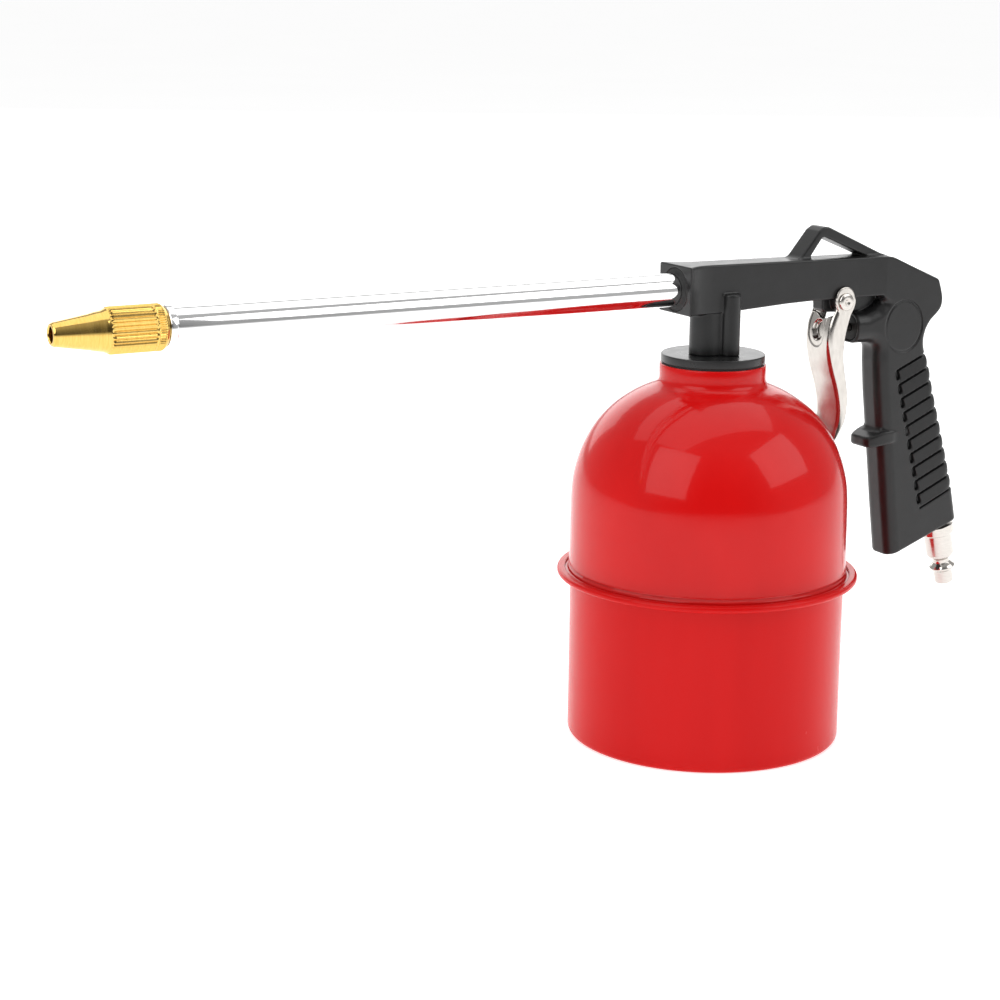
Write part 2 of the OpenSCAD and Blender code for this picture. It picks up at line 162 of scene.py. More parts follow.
def lathe(name, profile, segs=256, frame3=None, closed=True, radial=None, **kw):
    """profile is (radius, height) in mm. frame3 is (origin, axis, side) and takes the height along axis.
    radial(theta, index array) -> extra radius, as an array (segs, points)."""
    prof = np.asarray(profile, float)
    if closed and np.linalg.norm(prof[0] - prof[-1]) < 1e-6:
        prof = prof[:-1]
    m = len(prof)
    th = np.linspace(0, 2 * math.pi, segs, endpoint=False)
    r = np.repeat(prof[None, :, 0], segs, 0)
    h = np.repeat(prof[None, :, 1], segs, 0)
    if radial is not None:
        dr, dh = radial(th, prof)
        r = r + dr
        h = h + dh
    if frame3 is None:
        o, ax, sx = np.zeros(3), np.array([0, 0, 1.0]), np.array([1.0, 0, 0])
    else:
        o, ax, sx = (np.array(v, float) for v in frame3)
    sy = np.cross(ax, sx)
    co = (o + h[..., None] * ax + (r * np.cos(th)[:, None])[..., None] * sx
          + (r * np.sin(th)[:, None])[..., None] * sy)
    idx = np.arange(segs * m).reshape(segs, m)
    i2 = np.roll(idx, -1, 0)
    if closed:
        a, b, c, d = idx, i2, np.roll(i2, -1, 1), np.roll(idx, -1, 1)
    else:
        a, b, c, d = idx[:, :-1], i2[:, :-1], i2[:, 1:], idx[:, 1:]
    quads = np.stack([a, b, c, d], -1).reshape(-1, 4)
    # make the outside face outwards: the signed area of the profile gives its direction
    x, y = prof[:, 0], prof[:, 1]
    area = 0.5 * np.sum(x * np.roll(y, -1) - np.roll(x, -1) * y)
    if area < 0:
        quads = quads[:, ::-1]
    # points on the axis: merge into one
    co = co.reshape(-1, 3)
    on = np.abs(prof[:, 0]) < 1e-6
    if on.any():
        for k in np.where(on)[0]:
            ids = idx[:, k]
            quads = np.where(np.isin(quads, ids), ids[0], quads)
        tris, keep = [], []
        for q in range(4):
            same = quads[:, q] == quads[:, (q + 1) % 4]
            t = quads[same]
            tris.append(np.stack([t[:, q], t[:, (q + 2) % 4], t[:, (q + 3) % 4]], 1))
            keep.append(~same)
        quads = quads[np.logical_and.reduce(keep)]
        tris = np.concatenate(tris)
        tris = tris[(tris[:, 0] != tris[:, 1]) & (tris[:, 1] != tris[:, 2]) & (tris[:, 0] != tris[:, 2])]
    else:
        tris = None
    used = np.unique(np.concatenate([quads.ravel(), tris.ravel()] if tris is not None else [quads.ravel()]))
    remap = np.full(len(co), -1)
    remap[used] = np.arange(len(used))
    return add_object(name, co[used], remap[quads], None if tris is None else remap[tris], **kw)


# ---------------------------------------------------------------- implicit shapes
def rmax(a, b, r):
    """Intersection with its edge rounded by r."""
    return np.minimum(np.maximum(a, b), -r) + np.hypot(np.maximum(a + r, 0), np.maximum(b + r, 0))


def rmin(a, b, r):
    """Union with a fillet of radius r."""
    return np.maximum(np.minimum(a, b), r) - np.hypot(np.maximum(r - a, 0), np.maximum(r - b, 0))


def sstep(a, b, x):
    t = np.clip((x - a) / (b - a), 0, 1)
    return t * t * (3 - 2 * t)


class Poly:
    """Signed distance to a closed polygon, kept on a fine grid."""

    def __init__(self, pts, h=0.2, pad=4.0):
        p = np.asarray(pts, float)
        self.lo, self.h = p.min(0) - pad, h
        n = np.ceil((p.max(0) + pad - self.lo) / h).astype(int) + 1
        gx = self.lo[0] + np.arange(n[0]) * h
        gz = self.lo[1] + np.arange(n[1]) * h
        x, z = np.meshgrid(gx, gz, indexing="ij")
        d = np.full(x.shape, 1e9)
        inside = np.zeros(x.shape, bool)
        for a, b in zip(p, np.roll(p, -1, 0)):
            e = b - a
            if e @ e < 1e-12:
                continue
            wx, wz = x - a[0], z - a[1]
            t = np.clip((wx * e[0] + wz * e[1]) / (e @ e), 0, 1)
            d = np.minimum(d, (wx - t * e[0]) ** 2 + (wz - t * e[1]) ** 2)
            c = (a[1] > z) != (b[1] > z)
            if abs(e[1]) > 1e-12:
                inside ^= c & (x < e[0] * (z - a[1]) / e[1] + a[0])
        d = np.sqrt(d)
        self.d = np.where(inside, -d, d)
        self.n = n

    def __call__(self, x, z):
        u = (x - self.lo[0]) / self.h
        v = (z - self.lo[1]) / self.h
        out = np.hypot(np.maximum(np.maximum(-u, u - (self.n[0] - 1)), 0),
                       np.maximum(np.maximum(-v, v - (self.n[1] - 1)), 0)) * self.h
        u = np.clip(u, 0, self.n[0] - 1.001)
        v = np.clip(v, 0, self.n[1] - 1.001)
        i, j = u.astype(int), v.astype(int)
        fu, fv = u - i, v - j
        d = self.d
        return ((d[i, j] * (1 - fu) + d[i + 1, j] * fu) * (1 - fv)
                + (d[i, j + 1] * (1 - fu) + d[i + 1, j + 1] * fu) * fv) + out


def surface(f, lo, hi, h, coarse=4, lip=1.9):
    """Surface nets over f(points) in the box lo..hi, voxel h, then points pulled onto the surface."""
    lo, hi = np.array(lo, float), np.array(hi, float)
    nc = np.ceil((hi - lo) / (h * coarse)).astype(int) + 1
    n = (nc - 1) * coarse + 1
    g = [lo[k] + np.arange(nc[k]) * h * coarse for k in range(3)]
    P = np.stack(np.meshgrid(*g, indexing="ij"), -1).reshape(-1, 3)
    dc = f(P).reshape(nc)
    m = np.abs(dc) < h * coarse * lip
    cell = np.zeros(nc - 1, bool)
    for i in (0, 1):
        for j in (0, 1):
            for k in (0, 1):
                cell |= m[i:nc[0] - 1 + i, j:nc[1] - 1 + j, k:nc[2] - 1 + k]
    node = np.zeros(n, bool)
    big = cell.repeat(coarse, 0).repeat(coarse, 1).repeat(coarse, 2)
    for i in (0, 1):
        for j in (0, 1):
            for k in (0, 1):
                node[i:n[0] - 1 + i, j:n[1] - 1 + j, k:n[2] - 1 + k] |= big
    idx = [np.minimum((np.arange(n[k]) + coarse // 2) // coarse, nc[k] - 1) for k in range(3)]
    D = np.where(dc[np.ix_(*idx)] < 0, -9.0, 9.0).astype(np.float32)
    ijk = np.argwhere(node)
    vals = np.empty(len(ijk), np.float32)
    for s in range(0, len(ijk), 400000):
        vals[s:s + 400000] = f(lo + ijk[s:s + 400000] * h)
    D[node] = vals
    S = D < 0
    cnt = np.zeros(n - 1, np.uint8)
    for i in (0, 1):
        for j in (0, 1):
            for k in (0, 1):
                cnt += S[i:n[0] - 1 + i, j:n[1] - 1 + j, k:n[2] - 1 + k]
    act = (cnt > 0) & (cnt < 8)
    C = np.argwhere(act)
    vid = np.full(n - 1, -1, np.int32)
    vid[act] = np.arange(len(C))
    corner = {}
    for i in (0, 1):
        for j in (0, 1):
            for k in (0, 1):
                corner[i, j, k] = D[C[:, 0] + i, C[:, 1] + j, C[:, 2] + k].astype(float)
    acc, num = np.zeros((len(C), 3)), np.zeros(len(C))
    for a in range(3):
        for u in (0, 1):
            for v in (0, 1):
                c0 = [0, 0, 0]
                c0[(a + 1) % 3], c0[(a + 2) % 3] = u, v
                c1 = list(c0)
                c1[a] = 1
                d0, d1 = corner[tuple(c0)], corner[tuple(c1)]
                x = (d0 < 0) != (d1 < 0)
                t = np.where(x, d0 / np.where(x, d0 - d1, 1), 0)
                q = np.tile(np.array(c0, float), (len(C), 1))
                q[:, a] = t
                acc += np.where(x[:, None], q, 0)
                num += x
    V = lo + (C + acc / num[:, None]) * h
    for _ in range(2):
        e = 0.04
        d = np.empty(len(V))
        G = np.empty((len(V), 3))
        for s in range(0, len(V), 300000):
            W = V[s:s + 300000]
            d[s:s + 300000] = f(W)
            for a in range(3):
                o = np.zeros(3)
                o[a] = e
                G[s:s + 300000, a] = (f(W + o) - f(W - o)) / (2 * e)
        g2 = np.maximum((G * G).sum(1), 0.2)
        step = np.clip(d / g2, -0.5 * h, 0.5 * h)
        V = V - G * step[:, None]
    quads = []
    for a in range(3):
        b, c = (a + 1) % 3, (a + 2) % 3
        sl0 = [slice(None)] * 3
        sl1 = [slice(None)] * 3
        sl0[a], sl1[a] = slice(0, n[a] - 1), slice(1, n[a])
        ch = S[tuple(sl0)] != S[tuple(sl1)]
        E = np.argwhere(ch)
        ok = (E[:, b] > 0) & (E[:, c] > 0) & (E[:, b] < n[b] - 1) & (E[:, c] < n[c] - 1)
        E = E[ok]
        inside = S[tuple(E.T)]
        q = []
        for (db, dcx) in ((1, 1), (0, 1), (0, 0), (1, 0)):
            F = E.copy()
            F[:, b] -= db
            F[:, c] -= dcx
            q.append(vid[tuple(F.T)])
        q = np.stack(q, 1)
        q[~inside] = q[~inside][:, ::-1]
        quads.append(q)
    quads = np.concatenate(quads)
    quads = quads[(quads >= 0).all(1)]
    return V, quads


# ---------------------------------------------------------------- materials
def new_mat(name):
    m = bpy.data.materials.new(name)
    m.use_nodes = True
    nt = m.node_tree
    return m, nt, nt.nodes["Principled BSDF"]


def coords(nt, scale=(1, 1, 1)):
    tc = nt.nodes.new("ShaderNodeTexCoord")
    mp = nt.nodes.new("ShaderNodeMapping")
    mp.inputs["Scale"].default_value = scale
    nt.links.new(tc.outputs["Object"], mp.inputs["Vector"])
    return mp.outputs["Vector"]


def noise(nt, vec, scale, detail=2.0, rough=0.5, distortion=0.0):
    n = nt.nodes.new("ShaderNodeTexNoise")
    n.inputs["Scale"].default_value = scale
    n.inputs["Detail"].default_value = detail
    n.inputs["Roughness"].default_value = rough
    n.inputs["Distortion"].default_value = distortion
    nt.links.new(vec, n.inputs["Vector"])
    return n.outputs["Fac"]


def ramp(nt, fac, stops):
    r = nt.nodes.new("ShaderNodeValToRGB")
    e = r.color_ramp.elements
    while len(e) < len(stops):
        e.new(0.5)
    for k, (pos, col) in enumerate(stops):
        e[k].position = pos
        e[k].color = (*col, 1.0) if len(col) == 3 else col
    nt.links.new(fac, r.inputs["Fac"])
    return r.outputs["Color"]


def rng(nt, fac, a, b, lo=0.3, hi=0.7):
    r = nt.nodes.new("ShaderNodeMapRange")
    r.inputs["From Min"].default_value = lo
    r.inputs["From Max"].default_value = hi
    r.inputs["To Min"].default_value = a
    r.inputs["To Max"].default_value = b
    nt.links.new(fac, r.inputs["Value"])
    return r.outputs["Result"]


def bump(nt, height, strength, distance, normal=None):
    b = nt.nodes.new("ShaderNodeBump")
    b.inputs["Strength"].default_value = strength
    b.inputs["Distance"].default_value = distance
    nt.links.new(height, b.inputs["Height"])
    if normal is not None:
        nt.links.new(normal, b.inputs["Normal"])
    return b.outputs["Normal"]


def grey(v):
    return (v, v, v)


def red_paint(name, streak, rough, coat, peel, spec=0.25):
    m, nt, b = new_mat(name)
    v = coords(nt)
    base = noise(nt, coords(nt, (1, 1, streak)), 28, 3, 0.55)
    nt.links.new(ramp(nt, base, [(0.30, (0.54, 0.0035, 0.0036)), (0.72, (0.62, 0.0060, 0.0058))]), b.inputs["Base Color"])
    nt.links.new(rng(nt, noise(nt, v, 60, 4, 0.6), rough * 0.85, rough * 1.25), b.inputs["Roughness"])
    b.inputs["Coat Weight"].default_value = coat
    b.inputs["Coat Roughness"].default_value = 0.05
    b.inputs["Specular IOR Level"].default_value = spec
    n1 = bump(nt, noise(nt, v, 420, 1.5, 0.4), 0.55, peel)
    n2 = bump(nt, noise(nt, coords(nt, (1, 1, streak)), 45, 2, 0.45), 0.6, peel * 7, n1)
    nt.links.new(n2, b.inputs["Normal"])
    return m


def black_cast(name, rough=0.33, base=0.012):
    m, nt, b = new_mat(name)
    v = coords(nt)
    c = noise(nt, v, 140, 4, 0.6)
    nt.links.new(ramp(nt, c, [(0.35, grey(base * 0.9)), (0.68, (base * 1.12, base * 1.12, base * 1.16))]), b.inputs["Base Color"])
    nt.links.new(rng(nt, noise(nt, v, 220, 3, 0.6), rough * 0.92, rough * 1.1), b.inputs["Roughness"])
    b.inputs["Specular IOR Level"].default_value = 0.38
    n1 = bump(nt, noise(nt, v, 2200, 2, 0.5), 0.5, 0.000012)
    n2 = bump(nt, noise(nt, v, 90, 2, 0.5), 0.5, 0.00006, n1)
    nt.links.new(n2, b.inputs["Normal"])
    return m


def metal(name, lo, hi, rough, grain=(1, 1, 1), gscale=900, amp=0.00001, rspread=0.25):
    m, nt, b = new_mat(name)
    v = coords(nt, grain)
    b.inputs["Metallic"].default_value = 1.0
    f = noise(nt, v, gscale, 3, 0.6)
    nt.links.new(ramp(nt, f, [(0.3, lo), (0.7, hi)]), b.inputs["Base Color"])
    nt.links.new(rng(nt, noise(nt, coords(nt), 130, 3, 0.6), rough * (1 - rspread), rough * (1 + rspread)), b.inputs["Roughness"])
    nt.links.new(bump(nt, f, 0.5, amp), b.inputs["Normal"])
    return m


def rubber(name):
    m, nt, b = new_mat(name)
    f = noise(nt, coords(nt), 1500, 3, 0.6)
    nt.links.new(ramp(nt, f, [(0.3, grey(0.012)), (0.7, grey(0.022))]), b.inputs["Base Color"])
    nt.links.new(rng(nt, f, 0.6, 0.8), b.inputs["Roughness"])
    nt.links.new(bump(nt, f, 0.5, 0.00003), b.inputs["Normal"])
    return m


M_DOME = red_paint("paint_red_dome", 0.6, 0.20, 0.32, 0.0000030, 0.08)
M_CUP = red_paint("paint_red_cup", 0.10, 0.22, 0.05, 0.000005, 0.12)
M_BODY = black_cast("cast_black")
M_LID = black_cast("lid_black", 0.29, 0.012)
M_GLAND = black_cast("gland_black", 0.5, 0.009)
M_CHROME = metal("chrome", grey(0.82), grey(0.88), 0.07, (0.04, 1, 1), 1500, 0.0000015)
M_COLLAR = metal("chrome_turned", grey(0.84), grey(0.92), 0.10, (6, 0.3, 0.3), 500, 0.000003)
M_NICKEL = metal("nickel", (0.52, 0.49, 0.455), (0.60, 0.57, 0.535), 0.17, (1, 1, 0.35), 700, 0.000006)
M_PLUG = metal("nickel_turned", (0.54, 0.51, 0.475), (0.62, 0.59, 0.555), 0.14, (0.5, 0.5, 5), 900, 0.000004)
M_BRASS = metal("brass", (0.66, 0.42, 0.10), (0.80, 0.54, 0.16), 0.15, (7, 0.4, 0.4), 600, 0.000006)
M_STEEL = metal("plated_steel", grey(0.55), grey(0.68), 0.30, (1, 1, 1), 800, 0.000008)
M_SPRING = metal("spring_wire", grey(0.45), grey(0.58), 0.32, (1, 1, 1), 1200, 0.000006)
M_RUBBER = rubber("rubber_black")

# ---------------------------------------------------------------- can
DOME = [(50.7, 62.4), (50.4, 72), (50.3, 82), (50.1, 90), (49.6, 95.5), (48.6, 100.2), (47.1, 105), (45.1, 109.6),
        (42.6, 114), (39.4, 118.2), (35.6, 122), (31.2, 125.3), (27.2, 127.7), (23.6, 129.4), (20.9, 130.6),
        (19.6, 131.7), (19.2, 133.0), (19.2, 135.2)]
T = 0.8
line = smooth_line(DOME, 1.0)
outer = np.vstack([line, [[19.2, 137.9], [19.1, 138.15], [18.9, 138.3]]])
inner = offset_line(line, T)[::-1]
foot = round_line([(53.7, 60.85), (53.7, 61.6), (50.72, 61.6), (50.69, 64.0)], [0, 0.15, 0.55, 0], 8)
prof = np.vstack([foot, outer[1:], [[18.5, 138.3], [18.4, 138.1]], inner[:-1],
                  [[49.9, 62.4], [49.9, 60.85]]])
lathe("dome_shell", prof, 384, body="can", slot="red_paint", replaces=["dome"], material=M_DOME)

cup = round_line(
    [(0, 0.9), (40, 0.9), (43.5, 0.0), (50.0, 0.0), (50.0, 60.0), (54.85, 60.0), (54.85, 62.4), (51.9, 62.4),
     (51.9, 61.65), (53.95, 61.65), (53.95, 60.8), (49.2, 60.8), (49.2, 0.8), (43.5, 0.8), (40, 1.7), (0, 1.7)],
    [0, 4, 1.2, 1.9, 1.0, 1.1, 1.15, 0.35, 0, 0.2, 0.2, 1.0, 1.2, 2, 4, 0], 8)
lathe("cup_shell", subdivide(cup, 2.5), 384, body="can", slot="red_paint", replaces=["cup"], material=M_CUP)

# ---------------------------------------------------------------- lid disc
lid = round_line(
    [(6.05, 141.9), (6.05, 128.6), (9, 128.6), (9, 136.6), (13.1, 136.6), (13.1, 128.6), (14.3, 128.6),
     (14.3, 129.2), (15.0, 130.1), (14.3, 131.5), (15.0, 132.5), (14.3, 133.9), (15.0, 134.9), (14.3, 136.4),
     (14.3, 139.0), (18.7, 139.0), (18.7, 141.9), (11.9, 141.75), (9.4, 141.75)],
    [0, 0, 0, 0.5, 0.5, 0, 0, 0.2, 0.2, 0.2, 0.2, 0.2, 0.2, 0.2, 0.2, 0.25, 0.45, 0.2, 0], 6)
lathe("lid_disc", np.vstack([lid, lid[:1]]), 256, body="gun", slot="black_body", replaces=["lid"], material=M_LID)

# ---------------------------------------------------------------- gun body
PX, PZ = 52.9, 157.9
wl = smooth_line([(-17.2, 10.1), (-15.6, 9.1), (-13.6, 8.05), (-11.5, 7.2), (-9, 6.6), (-6, 6.25), (-3, 6.2)], 0.4)
WX = np.concatenate([[-30], wl[:, 0], [0, 60, 66, 72, 130]])
WW = np.concatenate([[10.1], wl[:, 1], [6.2, 6.2, 6.55, 7.0, 7.0]])
WS = 1 / np.sqrt(1 + np.gradient(WW, WX) ** 2)
notch = round_line([(60, 159.1), (71.2, 159.1), (71.9, 157.0), (69.0, 154.6), (65.0, 153.0), (50, 152.7)], [0, 1.2, 1.2, 1.5, 2, 0], 6)
throat = round_line([(50, 141.3), (70.3, 141.3), (70.4, 134.0)], [0, 3.8, 0], 8)
head_pts = np.vstack([notch, throat, [(71.6, 121.5), (73.2, 109.2), (75.2, 94.3), (77.1, 79.1), (79.7, 60.4), (82.0, 44.5),
             (119.5, 44.5), (115.8, 57.5), (112.1, 71.5), (109.1, 85.3), (105.5, 97.4), (101.8, 109.4), (98.0, 121.4),
             (95.2, 131.8)]])
rear = smooth_line([(95.6, 130.3), (94.2, 134.1), (92.7, 137.3), (92.0, 141.1), (92.5, 144.9), (94.2, 148.1),
                    (96.9, 150.6), (98.8, 152.9), (99.4, 155.7), (99.0, 158.3), (98.0, 161.5)], 0.8)
top = round_line([(98.0, 161.5), (97.2, 163.7), (75.1, 173.1), (72.0, 173.55), (60, 173.68)], [0, 2.2, 4, 3, 0], 8)
P_HEAD = Poly(np.vstack([head_pts, rear, top[1:], [(60, 170)]]))
P_TONGUE = Poly(round_line([(45.7, 162), (45.8, 155.0), (46.9, 153.9), (66, 152.8), (75, 152.4), (75, 162)],
                           [0, 0.8, 0.8, 0, 0, 0], 4))
P_LOOP = Poly(round_line([(33.2, 171), (33.6, 173.9), (42.2, 184.0), (44.6, 185.4), (46.8, 185.2), (61, 178.9), (73.6, 173.3),
                          (73.0, 171)], [0, 0, 1.6, 2.0, 2.5, 6, 0, 0], 6))
P_WIN = Poly(round_line([(38.9, 171), (38.9, 175.1), (43.6, 181.3), (44.8, 181.7), (64.1, 173.9), (65.5, 171)],
                        [0, 1.0, 1.2, 1.2, 0.6, 0], 6), pad=6)
P_BEAK = Poly(round_line([(92, 103.4), (78, 102.6), (68.3, 101.2), (67.4, 102.0), (67.4, 104.6), (68.0, 105.2), (74.6, 107.4),
                          (92, 107.8)], [0, 2, 0.9, 0.8, 0.6, 0.8, 2, 0], 5))
P_BPLAN = Poly(smooth_line([(88, -6.6), (81, -6.8), (78, -7.45), (74, -7.3), (70.4, -6.5), (68.2, -5.2), (67.4, -3.4), (67.3, 0),
                            (67.4, 3.4), (68.2, 5.2), (70.4, 6.5), (74, 7.3), (78, 7.45), (81, 6.8), (88, 6.6)], 0.5))
RIB_N = np.array([math.sin(math.radians(22.8)), -math.cos(math.radians(22.8))])
RIB_T = np.array([math.cos(math.radians(22.8)), math.sin(math.radians(22.8))])
RIB_S0 = np.array([78.35, 130.4]) @ RIB_N
RIB_P = 5.59


def box_d(x, y, z, c, h, r):
    q = [np.abs(x - c[0]) - h[0] + r, np.abs(y - c[1]) - h[1] + r, np.abs(z - c[2]) - h[2] + r]
    return (np.sqrt(np.maximum(q[0], 0) ** 2 + np.maximum(q[1], 0) ** 2 + np.maximum(q[2], 0) ** 2)
            + np.minimum(np.maximum(np.maximum(q[0], q[1]), q[2]), 0) - r)


def gun(p):
    x, y, z = p[:, 0], p[:, 1], p[:, 2]
    ay = np.abs(y)
    w = np.interp(x, WX, WW)
    dy = (ay - w) * np.interp(x, WX, WS)
    zb = np.interp(x, [-17.2, -4, 8, 28, 40, 75], [157.3, 157.05, 157.55, 158.65, 159.0, 159.1])
    zt = np.interp(x, [-17.2, 70.5, 76.0], [174.6, 173.6, 173.0])
    blk = np.maximum(rmax(dy, z - zt, 0.8), rmax(dy, zb - z, 0.5))
    blk = rmax(blk, -17.2 - x, 0.35)
    blk = np.maximum(blk, x - 74.0)
    # head and grip
    xf = np.interp(z, [60, 79, 94, 109, 121, 134, 141.5], [79.8, 77.1, 75.2, 73.2, 71.6, 70.4, 70.3])
    xr = np.interp(z, [58, 71.5, 85.3, 97.4, 109.4, 121.4, 133], [115.6, 112.1, 109.1, 105.5, 101.8, 98.0, 95.0])
    u = (x - xf) / (xr - xf)
    rf = 4.8 - 4.2 * sstep(155.5, 159.5, z)
    rr = 3.0 - 2.0 * sstep(135.0, 152.0, z)
    R = rf + (rr - rf) * sstep(0.3, 0.7, u)
    hd = rmax(P_HEAD(x, z), dy, R)
    hd = np.where(z < 156.5, rmax(hd, 60.6 - x, 0.5), hd)
    hd = rmax(hd, (x - 84.8) * 0.3427 - (z - 59.4) * 0.9396, 1.2)
    d = np.minimum(blk, hd)
    # lug and boss for the pivot pin
    rh = np.hypot(x - PX, z - PZ)
    d = np.minimum(d, rmax(P_TONGUE(x, z), ay - 3.0 + 1.8 * sstep(56.0, 57.6, x), 0.5))
    d = np.minimum(d, rmax(rh - 3.8, ay - 6.15, 0.3))
    # distance from the valve axis, used by the gland bore below
    rv = np.hypot(y, z - 147.0)
    # post, its side rib and the tail inside the lid
    post = np.maximum(np.hypot(np.maximum(np.abs(x) - 3.6, 0), y) - 5.8, z - 160.0)
    d = rmin(d, post, 0.02 + 1.6 * sstep(5.5, 9.0, np.abs(x)))
    rib = rmax(np.hypot(x - 2.8, y + 6.2) - 3.5, z - 163.9, 0.9)
    d = rmin(d, rib, 0.75)
    d = np.maximum(d, np.where((z < 152) & (x < 40), 141.9 - z, -1e3))
    tail = np.maximum(np.maximum(np.hypot(x, y) - 5.98, 128.6 - z), z - 146.0)
    d = np.minimum(d, tail)
    d = np.maximum(d, -np.maximum(np.hypot(x, y) - 3.02, z - 150.0))
    # hang loop
    lp = rmax(P_LOOP(x, z), ay - 4.3, 0.8)
    d = rmin(d, np.maximum(lp, -(z - 171)), 1.3)
    win = np.maximum(P_WIN(x, z), zt - z)
    d = rmax(d, -win, 0.6)
    # finger rest
    bk = rmax(P_BEAK(x, z), P_BPLAN(x, y), 0.9)
    d = rmin(d, bk, 0.3 + 1.6 * sstep(103.5, 106.0, z) * (1 - sstep(5.2, 6.8, ay)))
    # barrel recess and bore
    rb = np.hypot(y, z - AXIS)
    d = rmax(d, -np.maximum(rb - 7.75, x + 16.1), 0.3)
    d = np.maximum(d, -np.maximum(rb - 6.05, x + 12.0))
    # gland bore
    d = rmax(d, -np.maximum(np.maximum(rv - 5.05, x - 74.0), 58.0 - x), 0.3)
    # thumb discs
    rd = np.hypot((x - 81.2) / 8.5, (z - 146.9) / 9.6) * 8.8
    gro = np.abs(rd - 8.8) - 0.45
    ang = np.arctan2(z - 146.9, x - 81.2)
    dep = 0.30 + 0.22 * np.cos(ang - 0.45)
    d = np.maximum(d, -rmax(gro, -(ay - (7.0 - dep)), 0.12))
    d = np.maximum(d, -(rh - 2.05))
    # grip ribs: saw-tooth steps on the sides and the back
    s = x * RIB_N[0] + z * RIB_N[1] - RIB_S0
    k = np.clip(np.floor(s / RIB_P), 0, 9)
    f = s / RIB_P - k
    xl = 78.45 + 1.45 * (s / RIB_P)
    band = (s > 0) & (s < 10 * RIB_P)
    saw = np.where(f < 0.03, f / 0.03, 1 - (f - 0.03) / 0.97)
    hump = 1 - np.sqrt(np.clip(1 - (2 * f - 1) ** 2, 0, 1))
    back = sstep(0.84, 0.97, u)
    side = sstep(0.0, 0.7, x - xl)
    slot = 1.35 * (1 - sstep(0.05, 0.13, np.abs(f - 0.10))) * (1 - sstep(0.0, 1.0, x - (xr - 1.2)))
    dep = ((0.55 * (1 - back) * saw + 0.75 * back * hump) + slot) * side * band
    # deep pocket at the front end of each step
    px_, pz_ = 78.35 + 1.45 * k + 0.95, 130.4 - 5.45 * k - 1.1
    ex, ez = 0.5, -1.7
    t = np.clip(((x - px_) * ex + (z - pz_) * ez) / (ex * ex + ez * ez), 0, 1)
    dp = np.hypot(x - px_ - t * ex, z - pz_ - t * ez)
    pocket = 1.9 * (1 - sstep(0.7, 1.25, dp)) * band
    # the last line is only a thin groove
    sl = s - 10 * RIB_P
    last = (1.1 * (1 - sstep(0.1, 0.5, np.abs(sl - 0.35))) * sstep(0, 0.6, x - (78.45 + 1.45 * 10 + 0.1))
            * sstep(0, 0.8, 110.0 - x))
    d = d + np.maximum(np.maximum(dep, pocket), last) * 0.93
    return d


def side_cast_bounds():
    return (-18.2, -11.0, 57.0), (114.5, 11.0, 186.4)


lo3, hi3 = side_cast_bounds()
V, Q = surface(gun, lo3, hi3, 0.29)
add_object("gun_casting", V, Q, body="gun", slot="black_body", replaces=["gun_body"], material=M_BODY)

# ---------------------------------------------------------------- trigger
WEB = [(50.2, 157), (48.3, 153.4), (46.8, 149.5), (46.2, 145.5), (46.2, 141.5), (47.0, 136.6), (48.4, 131.6), (50.3, 126.2),
       (51.6, 121.2), (52.2, 116.4), (51.7, 112), (50.4, 108.2), (49.4, 105.4)]
FLB = [(51.2, 106.6), (53.4, 110.4), (55.1, 114.4), (55.6, 118.9), (55.6, 122.4), (55.0, 126.6), (54.0, 131.2), (53.1, 136.4),
       (53.1, 141.6), (53.8, 146.6), (55.3, 152.0), (56.7, 156.4)]
web = smooth_line([(52.5, 161)] + WEB + [(48.4, 103)], 0.6)
flb = smooth_line([(50.6, 105.8)] + FLB + [(57.0, 158.3)], 0.6)
P_WEB = Poly(np.vstack([web, [(75, 103), (75, 161)]]), pad=3)
P_FL = Poly(np.vstack([[(40, 105.6), (49.6, 105.4)], flb, [(47.0, 159), (40, 157)]]), pad=3)


def trig(p):
    x, y, z = p[:, 0], p[:, 1], p[:, 2]
    ay = np.abs(y)
    uu = (1 - sstep(4.1, 4.9, np.hypot(y - 0.8, np.minimum(z - 146.0, 0) * 0.85))) * (z < 154)
    dm = 1 - sstep(2.3, 3.4, np.hypot(y - 0.5, (z - 147.0) * 0.8))
    push = 0.35 * uu + 1.8 * dm
    dF = P_WEB(x - push, z)
    dS = ay - 7.6
    out = rmax(dF, dS, 2.0)
    inn = rmax(dF + 1.2, dS + 1.2, 0.8)
    sh = np.maximum(out, -inn)
    boss = np.maximum(np.hypot(y, z - 147.0) - 3.2, np.maximum(x - 51.8, 47.6 - x + push))
    sh = np.minimum(sh, boss)
    fl = P_FL(x, z)
    d = rmax(sh, fl, 0.3)
    zs = 151.3 + 1.7 * sstep(0.0, 6.0, np.abs(y + 1.0))
    d = rmax(d, -rmax(zs - z, ay - 6.35, 0.3), 0.25)
    ear = np.minimum(np.hypot(x - PX, z - PZ - 1.4), np.hypot(x - PX, z - PZ)) - 4.1
    plate = rmax(rmin(ear, np.maximum(fl, P_WEB(x, z) + 1.7), 2.0), np.abs(ay - 7.0) - 0.6, 0.2)
    d = np.minimum(d, plate)
    return np.maximum(d, -(np.hypot(x - PX, z - PZ) - 2.06))


V, Q = surface(trig, (43.5, -8.8, 103.5), (59.5, 8.8, 165.6), 0.24)
add_object("trigger_lever_plate", V, Q, body="trigger_lever", slot="nickel", replaces=["trigger"], material=M_NICKEL)

